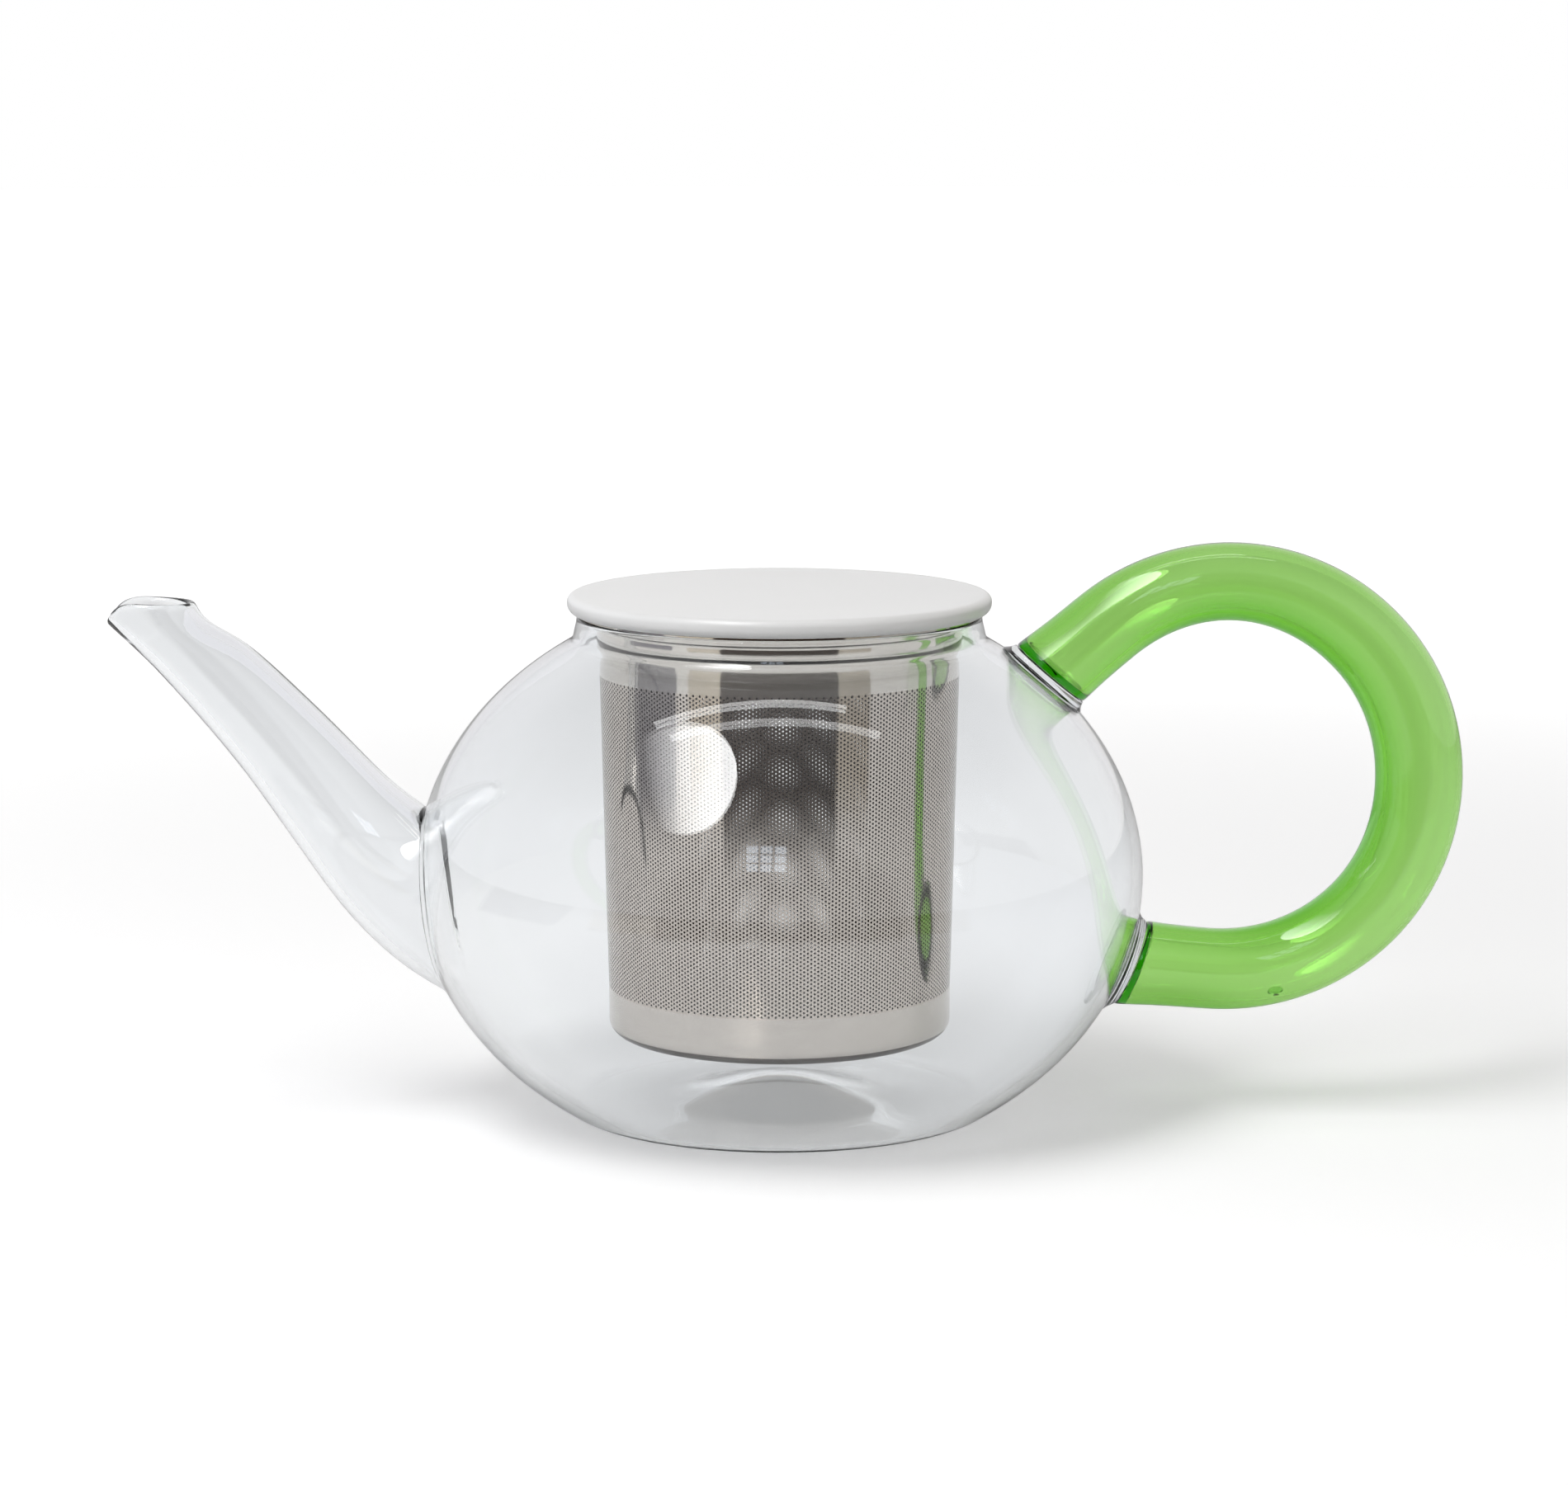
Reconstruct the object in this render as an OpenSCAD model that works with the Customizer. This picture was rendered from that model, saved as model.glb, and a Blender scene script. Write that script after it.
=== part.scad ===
// Glass teapot: blown bowl, fused curved spout, fused green tube handle,
// steel infuser basket hung on the neck rim and a flat glazed lid on top of it.
// Origin on the bowl's axis at the table, spout towards -X, handle towards +X.

/* [Bowl] */
// Widest diameter of the bowl
bowl_d = 147.2; // [140:0.4:156]
// Height of the widest point above the table
bowl_mid_z = 48.5; // [46:0.5:52]
// Half the height of the full ellipse that the bowl is blown to
bowl_half_h = 58.4; // [56:0.4:62]
// Thickness of the blown glass
glass_wall = 2; // [1.6:0.1:2.4]
// Rounding between the side and the standing ring
foot_round = 10; // [8:0.5:13]
// Diameter of the raised dimple under the base
punt_d = 52; // [44:1:56]
// Height of the dimple above the table
punt_h = 5; // [3:0.5:7]

/* [Neck] */
// Gap between the basket and the inside of the neck
neck_gap = 2.7; // [2.2:0.1:3.6]
// Extra radius of the neck where it leaves the shoulder
neck_flare = 0.6; // [0:0.1:1]
// Height of the ground rim that the basket hangs on
rim_z = 101.6; // [100:0.2:105]
// Fillet between the neck and the shoulder
neck_round = 2.5; // [1.5:0.25:4]
// Rounding of the two rim edges
rim_round = 0.6; // [0.3:0.1:0.8]

/* [Spout] */
// Diameter of the spout where it is fused to the bowl
spout_root_d = 37.5; // [34:0.5:41]
// Height of the centre of the fused joint
spout_root_z = 43.2; // [40:0.4:47]
// Distance of the pouring beak from the bowl's axis
spout_reach = 135.6; // [125:0.4:145]
// Height of the mouth's level rim
spout_top_z = 104.4; // [98:0.4:112]
// Length of the mouth from the beak to its back edge
mouth_len = 17.8; // [14:0.2:21]
// Width of the mouth across the spout
mouth_w = 15; // [12:0.2:19]
// How far the beak dips below the level rim
beak_drop = 4.4; // [2:0.2:6]
// Thickness of the spout's glass
spout_wall = 1.7; // [1.2:0.1:2.2]

/* [Handle] */
// Outer diameter of the hollow handle tube
handle_tube_d = 16.5; // [14:0.25:19]
// Thickness of the tube's glass
handle_wall = 1.8; // [1.2:0.1:2.4]
// Radius of the loop along the tube's centre line
loop_r = 39.3; // [36:0.1:42]
// Distance of the loop's centre from the bowl's axis
loop_x = 90.6; // [89:0.2:94]
// Height of the loop's centre
loop_z = 68.6; // [66:0.2:72]
// Angle at which the loop runs out into the upper straight end
loop_top_angle = 130; // [126:1:134]
// Angle at which the loop runs out into the lower straight end
loop_low_angle = -94.5; // [-98:0.5:-90]
// Thickness of the clear glass pads between the bowl and the tube
pad_t = 2; // [1.4:0.1:2.6]
// Diameter of a pad where it meets the tube
pad_d = 17.6; // [17:0.2:21]
// Extra diameter of a pad where it meets the bowl
pad_flare = 2.4; // [0:0.2:4]
// Thickness of the tube's closed ends
tube_end_t = 1.2; // [0.8:0.1:2]
// How much the tube swells towards its fused ends
tube_swell = 0.9; // [0:0.1:1.5]
// Diameter of the vent hole on the underside of the loop
vent_d = 1.2; // [0.8:0.1:2]
// Angle of the vent hole on the loop
vent_angle = -77; // [-85:1:-50]

/* [Infuser] */
// Outer diameter of the basket at the top of its perforated wall
basket_top_d = 72.2; // [68:0.2:74]
// How much narrower the basket is at the bottom of its perforated wall
basket_taper = 2.8; // [0:0.2:6]
// Thickness of the steel sheet
sheet_t = 0.5; // [0.4:0.1:0.7]
// Height of the underside of the basket above the table
basket_z = 16.2; // [13:0.2:22]
// Height of the plain base cup
base_cup_h = 9.4; // [6:0.2:14]
// Height of the plain collar below the flange
collar_h = 12.2; // [8:0.2:16]
// How far the flange reaches out beyond the basket
flange_lap = 4.4; // [4:0.1:5]
// Step that the collar swells by above its plain band
collar_step = 0.6; // [0.2:0.1:0.9]
// Corner rounding of the base cup
base_round = 2.6; // [1.5:0.2:4]
// Diameter of one perforation
hole_d = 1.6; // [1:0.1:1.8]
// Rows of perforations
hole_rows = 16; // [6:1:20]
// Perforations around one row
hole_count = 48; // [24:1:52]

/* [Lid] */
// How far the lid reaches out beyond the flange
lid_lap = 2.2; // [1.4:0.1:3]
// Thickness of the disc
lid_t = 3.8; // [3.6:0.2:6]
// Rounding of the lid's top edge
lid_top_round = 1.5; // [0.6:0.1:1.7]
// Rounding of the lid's bottom edge
lid_low_round = 1.9; // [0.6:0.1:1.9]
// Height of the locating ring under the disc
lid_ring_h = 4; // [2.5:0.5:6]
// Width of the locating ring
lid_ring_t = 3; // [2:0.5:5]
// Play between the locating ring and the collar
lid_play = 0.9; // [0.5:0.1:1.5]

/* [Hidden] */

round_fn = 128;
tube_fn = 64;
hole_fn = 16;

glass_tint = [0.88, 0.90, 0.91, 0.35];
green_tint = [0.55, 0.78, 0.38, 0.6];
steel_tint = [0.72, 0.71, 0.69];
glaze_tint = [0.93, 0.93, 0.92];

bowl_r = bowl_d / 2;
basket_top_r = basket_top_d / 2;
basket_low_r = basket_top_r - basket_taper / 2;
neck_r = basket_top_r + neck_gap + glass_wall;
flange_r = basket_top_r + flange_lap;
lid_r = flange_r + lid_lap;
seat_z = rim_z + sheet_t;

// How many straight steps stand for a curve
punt_steps = 12;
side_steps = 36;
round_steps = 6;
corner_steps = 4;

// --- Bowl outline -------------------------------------------------------

// Radius of the bowl's ellipse at height z, grown outwards by g
function bowl_radius(z, g = 0) =
    (bowl_r + g) * sqrt(max(0, 1 - pow((z - bowl_mid_z) / (bowl_half_h + g), 2)));

// Angle of the ellipse's outward normal at height z, grown by g
function bowl_normal(z, g = 0) =
    atan2((z - bowl_mid_z) / pow(bowl_half_h + g, 2), bowl_radius(z, g) / pow(bowl_r + g, 2));

function arc(cx, cz, r, from, to, steps) =
    [for (i = [0 : steps]) let (a = from + (to - from) * i / steps) [cx + r * cos(a), cz + r * sin(a)]];

// The shoulder fillet's centre lies outside the bowl, the foot's inside it
fillet_x = neck_r + neck_flare + neck_round;
fillet_z = bowl_mid_z + (bowl_half_h + neck_round)
         * sqrt(1 - pow(fillet_x / (bowl_r + neck_round), 2));
foot_x = bowl_radius(foot_round, -foot_round);
shoulder_normal = bowl_normal(fillet_z, neck_round);
foot_normal = bowl_normal(foot_round, -foot_round);

// One skin of the bowl from the middle of the base to the rim, g inside the outer skin
function punt_height(x) = x >= punt_d / 2 ? 0 : punt_h * (1 + cos(360 * x / punt_d)) / 2;
function side_angle(z, g) = asin((z - bowl_mid_z) / (bowl_half_h - g));
function bowl_skin(g) =
    let (low = foot_round + (foot_round - g) * sin(foot_normal),
         high = fillet_z - (neck_round + g) * sin(shoulder_normal),
         from = side_angle(low, g), to = side_angle(high, g))
    concat(
        [for (i = [0 : punt_steps]) let (x = punt_d / 2 * i / punt_steps) [x, punt_height(x) + g]],
        arc(foot_x, foot_round, foot_round - g, -90, foot_normal, round_steps),
        [for (i = [1 : side_steps - 1]) let (a = from + (to - from) * i / side_steps)
            [(bowl_r - g) * cos(a), bowl_mid_z + (bowl_half_h - g) * sin(a)]],
        arc(fillet_x, fillet_z, neck_round + g, 180 + shoulder_normal, 180, round_steps));

function reversed(list) = [for (i = [len(list) - 1 : -1 : 0]) list[i]];

rim_edge = concat(
    arc(neck_r - rim_round, rim_z - rim_round, rim_round, 0, 90, corner_steps),
    arc(neck_r - glass_wall + rim_round, rim_z - rim_round, rim_round, 90, 180, corner_steps));

module bowl_shell() {
    rotate_extrude($fn = round_fn)
        polygon(concat(bowl_skin(0), rim_edge, reversed(bowl_skin(glass_wall))));
}

// All that lies inside the bowl's outer skin, for what is fused against it
module bowl_solid() {
    rotate_extrude($fn = round_fn)
        polygon(concat([[0, rim_z]], bowl_skin(0), [[neck_r, rim_z]]));
}

// The bowl's ellipse grown by g, for what keeps that distance from the bowl
module grown_bowl(g) {
    rotate_extrude($fn = round_fn)
        polygon([for (i = [0 : side_steps]) let (a = -90 + 180 * i / side_steps)
            [(bowl_r + g) * cos(a), bowl_mid_z + (bowl_half_h + g) * sin(a)]]);
}

module glass_bowl() {
    color(glass_tint) difference() {
        bowl_shell();
        translate([-bowl_r, 0, spout_root_z]) rotate([0, 90, 0])
            cylinder(d = spout_root_d - 2 * spout_wall, h = bowl_r / 2, $fn = tube_fn);
    }
}

// --- Spout --------------------------------------------------------------

spout_rings = 22;
spout_sides = 32;
top_pace = 1.5; // the upper edge's points lie closer together at the root
root_blend = 0.12; // share of the length over which the root's ring turns into the free ones
beak_reach = 9; // the higher, the shorter the beak's dip
beak_share = 0.2; // share of the length over which the mouth's lift grows

// The two edges of the spout in side view leave the bowl where the joint's circle does
root_top = [-bowl_radius(spout_root_z + spout_root_d / 2), spout_root_z + spout_root_d / 2];
root_low = [-bowl_radius(spout_root_z - spout_root_d / 2), spout_root_z - spout_root_d / 2];
mouth_back = [-spout_reach + mouth_len, spout_top_z];
mouth_beak = [-spout_reach, spout_top_z - beak_drop];

// How far each edge bows away from its chord: [share of the chord, millimetres]
top_bow = [[0, 0], [0.15, -0.6], [0.45, 0.5], [0.78, 0.7], [0.93, -1.3], [1, 0]];
low_bow = [[0, 0], [0.05, 2.1], [0.13, 3.7], [0.26, 4.3], [0.44, 2.1], [0.62, -0.2], [0.86, -1],
           [1, 0]];

// Half width of the spout seen from the front: [share of its length, share of the root's]
width_share = [[0, 1], [0.12, 0.87], [0.3, 0.7], [0.54, 0.57], [0.78, 0.47], [0.92, 0.425], [1, 0.4]];

// Smooth curve through the pairs of a list, by Catmull-Rom between neighbours
function span_of(list, t, i = 0) = i >= len(list) - 2 || t <= list[i + 1][0] ? i : span_of(list, t, i + 1);
function slope_at(list, i) =
    let (a = list[max(0, i - 1)], b = list[min(len(list) - 1, i + 1)]) (b[1] - a[1]) / (b[0] - a[0]);
function smooth(list, t) =
    let (i = span_of(list, t), a = list[i], b = list[i + 1], w = b[0] - a[0], u = (t - a[0]) / w)
    a[1] * (2 * u * u * u - 3 * u * u + 1) + b[1] * (3 * u * u - 2 * u * u * u)
    + slope_at(list, i) * w * (u * u * u - 2 * u * u + u)
    + slope_at(list, i + 1) * w * (u * u * u - u * u);

// A point on an edge, bowed away from the chord from a to b on the given side
function edge_point(a, b, bow, t, side) =
    let (way = (b - a) / norm(b - a)) a + (b - a) * t + [-way[1], way[0]] * side * smooth(bow, t);
function top_edge(s) = edge_point(root_top, mouth_back, top_bow, pow(s, top_pace), -1);
function low_edge(s) = edge_point(root_low, mouth_beak, low_bow, s, 1);

// The mouth is level but for its beak: lift above the chord between its two ends
function mouth_lift(f, s) =
    let (u = (1 - cos(f)) / 2, near = max(0, 1 - (1 - s) / beak_share))
    beak_drop * (u - pow(u, beak_reach)) * near * near;

// Points of ring s, thinned by g; the ring at the root lies on the bowl's own surface
function ring_half_width(s) = spout_root_d / 2 * smooth(width_share, s) * (1 - s) + s * mouth_w / 2;
function free_ring(s, g) =
    let (a = top_edge(s), b = low_edge(s), c = (a + b) / 2, d = (a - b) / 2, k = 1 - g / norm(d),
         w = ring_half_width(s) - g)
    [for (j = [0 : spout_sides - 1]) let (f = 360 * j / spout_sides)
        [c[0] + d[0] * k * cos(f), w * sin(f), c[1] + d[1] * k * cos(f) + mouth_lift(f, s)]];
function root_ring(g) =
    let (r = spout_root_d / 2 - g)
    [for (j = [0 : spout_sides - 1])
        let (f = 360 * j / spout_sides, y = r * sin(f), z = spout_root_z + r * cos(f))
        [-sqrt(pow(bowl_radius(z), 2) - y * y), y, z]];
function blended(p, q, k) = [for (j = [0 : len(p) - 1]) p[j] * (1 - k) + q[j] * k];
function spout_ring(i, g) =
    let (s = i / spout_rings, k = min(1, s / root_blend))
    i == 0 ? root_ring(g) : blended(root_ring(g), free_ring(s, g), k * (2 - k));

module spout() {
    n = spout_sides;
    rows = spout_rings + 1;
    outer = [for (i = [0 : spout_rings]) each spout_ring(i, 0)];
    inner = [for (i = [0 : spout_rings]) each spout_ring(i, spout_wall)];
    half = rows * n;
    last = (rows - 1) * n;
    skin = [for (i = [0 : rows - 2], j = [0 : n - 1])
        each let (a = i * n + j, b = i * n + (j + 1) % n) [[a, a + n, b + n], [a, b + n, b]]];
    lining = [for (f = skin) [f[0] + half, f[2] + half, f[1] + half]];
    root_face = [for (j = [0 : n - 1])
        each let (k = (j + 1) % n) [[j, k, k + half], [j, k + half, j + half]]];
    lip_face = [for (j = [0 : n - 1])
        each let (a = last + j, b = last + (j + 1) % n) [[a, a + half, b + half], [a, b + half, b]]];
    color(glass_tint) polyhedron(concat(outer, inner), concat(skin, lining, root_face, lip_face));
}

// --- Handle -------------------------------------------------------------

// The straight ends run on into the bowl, so that they can be cut along its skin
straight_len = loop_r;
// They start this far back inside the loop and stand this much proud of it
end_lap = 0.3;
end_proud = 0.02;
top_end = [loop_x + loop_r * cos(loop_top_angle), loop_z + loop_r * sin(loop_top_angle)];
low_end = [loop_x + loop_r * cos(loop_low_angle), loop_z + loop_r * sin(loop_low_angle)];

// The loop and both straight ends as one rod, running on into the bowl
module handle_rod(d) {
    translate([loop_x, 0, loop_z]) rotate([90, 0, 0]) rotate([0, 0, loop_low_angle])
        rotate_extrude(angle = loop_top_angle - loop_low_angle, $fn = round_fn)
            translate([loop_r, 0]) circle(d = d, $fn = tube_fn);
    straight_end(top_end, loop_top_angle + 90, d);
    straight_end(low_end, loop_low_angle - 90, d);
}

// Slightly flared rod from one end of the loop in direction a of the XZ plane
module straight_end(p, a, d) {
    low_d = d + 2 * end_proud;
    translate([p[0], 0, p[1]]) rotate([0, 90 - a, 0]) translate([0, 0, -end_lap])
        cylinder(d1 = low_d, d2 = low_d + tube_swell * straight_len / pad_reach(p, a),
                 h = straight_len, $fn = tube_fn);
}

module handle_tube() {
    color(green_tint) difference() {
        handle_rod(handle_tube_d);
        grown_bowl(pad_t);
        difference() {
            handle_rod(handle_tube_d - 2 * handle_wall);
            grown_bowl(pad_t + tube_end_t);
        }
        translate([loop_x, 0, loop_z]) rotate([0, 90 - vent_angle, 0]) translate([0, 0, loop_r])
            cylinder(d = vent_d, h = handle_tube_d, $fn = tube_fn);
    }
}

// Clear pad of fused glass between the bowl and the tube's closed end
module handle_pad(p, a) {
    color(glass_tint) difference() {
        intersection() {
            grown_bowl(pad_t);
            translate([p[0], 0, p[1]]) rotate([0, 90 - a, 0])
                translate([0, 0, pad_reach(p, a) - pad_t])
                    cylinder(d1 = pad_d, d2 = pad_d + pad_flare, h = 4 * pad_t, $fn = tube_fn);
        }
        bowl_solid();
    }
}

module handle_upper_pad() handle_pad(top_end, loop_top_angle + 90);
module handle_lower_pad() handle_pad(low_end, loop_low_angle - 90);

// Distance from point p in direction a to the bowl grown by pad_t
function pad_reach(p, a) =
    let (A = bowl_r + pad_t, B = bowl_half_h + pad_t, u = p[0] / A, w = (p[1] - bowl_mid_z) / B,
         c = cos(a) / A, s = sin(a) / B, q = u * c + w * s, m = c * c + s * s)
    (-q - sqrt(q * q - m * (u * u + w * w - 1))) / m;

// --- Infuser ------------------------------------------------------------

wall_top_z = rim_z - collar_h;
wall_low_z = basket_z + base_cup_h;
// Where the collar's step begins and ends, as shares of its height
step_low = 0.4;
step_high = 0.64;
flange_round = 1.6;

// Collar outline grown by g: plain band, a soft swelling step, then the flange's bend
function swell(u) = u * u * (3 - 2 * u);
function collar_skin(g) = concat(
    [[basket_top_r - g, wall_top_z]],
    [for (i = [0 : round_steps]) let (u = i / round_steps)
            [basket_top_r - g + collar_step * swell(u),
             wall_top_z + collar_h * (step_low + (step_high - step_low) * u)]],
    arc(basket_top_r + collar_step + flange_round, rim_z - flange_round, flange_round + g,
        180, 90, round_steps));

module infuser_collar() {
    color(steel_tint) rotate_extrude($fn = round_fn)
        polygon(concat(collar_skin(0), [[flange_r, rim_z], [flange_r, seat_z]],
                       reversed(collar_skin(sheet_t))));
}

// The rolled wall has one narrow flat for each column of holes, two columns to a hole of one row
flats = 2 * hole_count;
// Plain margin under the first row and over the last one, as a share of the rows' spacing
margin_share = 0.65;
hole_step_z = (wall_top_z - wall_low_z) / (hole_rows - 1 + 2 * margin_share);

function wall_ring(r, z) =
    [for (j = [0 : flats - 1]) let (a = 360 * j / flats) [r * cos(a), r * sin(a), z]];

module wall_sheet() {
    rings = [wall_ring(basket_low_r, wall_low_z), wall_ring(basket_top_r, wall_top_z),
             wall_ring(basket_top_r - sheet_t, wall_top_z), wall_ring(basket_low_r - sheet_t, wall_low_z)];
    polyhedron([for (ring = rings) each ring], [for (i = [0 : len(rings) - 1], j = [0 : flats - 1])
        let (a = i * flats, b = (i + 1) % len(rings) * flats, k = (j + 1) % flats)
            [a + j, b + j, b + k, a + k]]);
}

module infuser_wall() {
    through = 2 * sheet_t;
    color(steel_tint) difference() {
        wall_sheet();
        for (row = [0 : hole_rows - 1], i = [0 : hole_count - 1])
            rotate([0, 0, 360 * (2 * i + row % 2 + 1 / 2) / flats])
                translate([basket_low_r - through, 0, wall_low_z + hole_step_z * (row + margin_share)])
                    rotate([0, 90, 0])
                        cylinder(d = hole_d, h = basket_taper / 2 + 2 * through, $fn = hole_fn);
    }
}

module infuser_base() {
    floor_r = basket_low_r - base_round;
    color(steel_tint) rotate_extrude($fn = round_fn)
        polygon(concat([[0, basket_z]],
                       arc(floor_r, basket_z + base_round, base_round, -90, 0, round_steps),
                       [[basket_low_r, wall_low_z], [basket_low_r - sheet_t, wall_low_z]],
                       arc(floor_r, basket_z + base_round, base_round - sheet_t, 0, -90, round_steps),
                       [[0, basket_z + sheet_t]]));
}

// --- Lid ----------------------------------------------------------------

module lid() {
    ring_r = basket_top_r + collar_step - sheet_t - lid_play;
    ring_z = seat_z - lid_ring_h;
    top_z = seat_z + lid_t;
    color(glaze_tint) rotate_extrude($fn = round_fn)
        polygon(concat(
            [[0, top_z]],
            arc(lid_r - lid_top_round, top_z - lid_top_round, lid_top_round, 90, 0, round_steps),
            arc(lid_r - lid_low_round, seat_z + lid_low_round, lid_low_round, 0, -90, round_steps),
            [[ring_r, seat_z], [ring_r, ring_z], [ring_r - lid_ring_t, ring_z],
             [ring_r - lid_ring_t, seat_z], [0, seat_z]]));
}

glass_bowl();
spout();
handle_tube();
handle_upper_pad();
handle_lower_pad();
infuser_collar();
infuser_wall();
infuser_base();
lid();
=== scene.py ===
# Glass teapot with a steel infuser and a glazed lid: the looks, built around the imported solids.
# The solids' frame: z up, spout towards -x, handle towards +x. Sizes of the pieces are in mm.
import math

import bmesh
import bpy
import numpy as np
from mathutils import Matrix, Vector


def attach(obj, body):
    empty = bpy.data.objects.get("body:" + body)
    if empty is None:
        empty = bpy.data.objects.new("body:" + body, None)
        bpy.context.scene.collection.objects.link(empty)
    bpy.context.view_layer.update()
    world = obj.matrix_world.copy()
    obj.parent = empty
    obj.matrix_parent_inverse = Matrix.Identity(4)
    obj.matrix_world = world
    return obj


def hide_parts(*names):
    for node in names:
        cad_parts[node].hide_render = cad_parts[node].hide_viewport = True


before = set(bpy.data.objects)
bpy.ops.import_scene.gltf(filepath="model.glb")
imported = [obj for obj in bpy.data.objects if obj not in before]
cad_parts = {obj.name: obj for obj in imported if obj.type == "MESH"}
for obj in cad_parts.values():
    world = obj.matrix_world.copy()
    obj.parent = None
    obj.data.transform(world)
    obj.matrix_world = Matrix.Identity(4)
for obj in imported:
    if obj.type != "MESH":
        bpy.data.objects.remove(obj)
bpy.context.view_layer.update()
mm = 0.001  # objects are in metres
print("frame loaded")

# camera

camera = {
    "place": (0.92, -1000, 234),
    "pitchDown": 9.012,  # degrees below level
    "lens": 115.1,
    "sensor": 36,
    "clip": (10, 30000),  # the nearest and the farthest that it sees
}


def addCamera():
    turn = (math.radians(90 - camera["pitchDown"]), 0, 0)
    bpy.ops.object.camera_add(location=[v * mm for v in camera["place"]], rotation=turn)
    view = bpy.context.object
    view.name = "viewCamera"
    view.data.sensor_width = camera["sensor"]
    view.data.lens = camera["lens"]
    view.data.clip_start, view.data.clip_end = (v * mm for v in camera["clip"])
    bpy.context.scene.camera = view


addCamera()
print("camera placed")

# small tools


def pickOnly(piece):
    # an operator acts on all that is selected
    bpy.ops.object.select_all(action="DESELECT")
    piece.select_set(True)
    bpy.context.view_layer.objects.active = piece


def startEditing(piece):
    pickOnly(piece)
    bpy.ops.object.mode_set(mode="EDIT")
    return bmesh.from_edit_mesh(piece.data)


def stopEditing():
    bpy.ops.object.mode_set(mode="OBJECT")


def applyModifier(piece, kind, **settings):
    pickOnly(piece)
    modifier = piece.modifiers.new(kind.title(), kind)
    for name, value in settings.items():
        setattr(modifier, name, value)
    bpy.ops.object.modifier_apply(modifier=modifier.name)


def joinInto(whole, part):
    # the part becomes one mesh with the whole
    pickOnly(part)
    whole.select_set(True)
    bpy.context.view_layer.objects.active = whole
    bpy.ops.object.join()


def mergeAndTurnOut(reach=0.002):
    # in edit mode: closes seams and poles within reach, then points every face outwards
    bpy.ops.mesh.select_all(action="SELECT")
    bpy.ops.mesh.remove_doubles(threshold=reach * mm)
    bpy.ops.mesh.normals_make_consistent(inside=False)


def smoothAll(piece, crease=None):
    # smooth shading, with edges sharper than the crease angle left sharp
    pickOnly(piece)
    if crease is None:
        bpy.ops.object.shade_smooth()
    else:
        bpy.ops.object.shade_smooth_by_angle(angle=math.radians(crease))


def arcPoints(centreX, centreZ, radius, start, end, steps):
    turns = [math.radians(start + (end - start) * i / steps) for i in range(steps + 1)]
    return [(centreX + radius * math.cos(t), centreZ + radius * math.sin(t)) for t in turns]


def spinOutline(name, outline, steps):
    # a point is drawn along the outline by extruding it, and the line is spun round the axis
    bpy.ops.object.select_all(action="DESELECT")
    bpy.ops.mesh.primitive_plane_add(size=mm)
    piece = bpy.context.object
    piece.name = piece.data.name = name
    bpy.ops.object.mode_set(mode="EDIT")
    bpy.ops.mesh.select_all(action="SELECT")
    bpy.ops.mesh.merge(type="CENTER")
    bpy.ops.transform.translate(value=(outline[0][0] * mm, 0, outline[0][1] * mm))
    for (x0, z0), (x1, z1) in zip(outline, outline[1:]):
        step = ((x1 - x0) * mm, 0, (z1 - z0) * mm)
        bpy.ops.mesh.extrude_vertices_move(TRANSFORM_OT_translate={"value": step})
    bpy.ops.mesh.select_all(action="SELECT")
    bpy.ops.mesh.spin(steps=steps, angle=2 * math.pi, center=(0, 0, 0), axis=(0, 0, 1))
    mergeAndTurnOut()
    stopEditing()
    return piece


def placeRing(piece, places):
    # moves each point of the selected ring to its place
    mesh = bmesh.from_edit_mesh(piece.data)
    ring = [v for v in mesh.verts if v.select]
    for vert, place in zip(ring, places):
        vert.co = [c * mm for c in place]
    bmesh.update_edit_mesh(piece.data)


def drawRings(name, rings):
    # a circle is drawn out ring by ring; the first and last ring close to a point
    bpy.ops.object.select_all(action="DESELECT")
    bpy.ops.mesh.primitive_circle_add(vertices=len(rings[0]), radius=mm)
    piece = bpy.context.object
    piece.name = piece.data.name = name
    bpy.ops.object.mode_set(mode="EDIT")
    placeRing(piece, rings[0])
    for ring in rings[1:]:
        bpy.ops.mesh.extrude_region_move()
        placeRing(piece, ring)
    mergeAndTurnOut()
    stopEditing()
    return piece


# glass body: bowl and spout, blown and fused to one skin

bowl = {
    "radius": 73.6,
    "middle": 48.5,  # height of the widest point
    "halfHeight": 58.4,
    "wall": 2.0,
    "foot": 10.0,  # rounding of the standing ring
    "puntRadius": 26.0,  # the raised middle of the base
    "puntHeight": 5.0,
    "neckRadius": 40.8,
    "neckFlare": 0.6,
    "neckRound": 2.5,
    "neckBow": 0.15,  # the neck stands out by this at mid height
    "rim": 101.6,
    "rimStrip": 0.5,  # height of the last strip, which keeps the ground rim crisp
    "steps": 128,
    "outlineSteps": {"punt": 9, "foot": 5, "side": 30, "neck": 4},
}


def bowlRadius(z, grow=0.0):
    level = (z - bowl["middle"]) / (bowl["halfHeight"] + grow)
    return (bowl["radius"] + grow) * math.sqrt(max(0.0, 1 - level * level))


def bowlSlope(z, grow=0.0):
    # angle of the outward normal above level, in degrees
    up = (z - bowl["middle"]) / (bowl["halfHeight"] + grow) ** 2
    out = bowlRadius(z, grow) / (bowl["radius"] + grow) ** 2
    return math.degrees(math.atan2(up, out))


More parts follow.
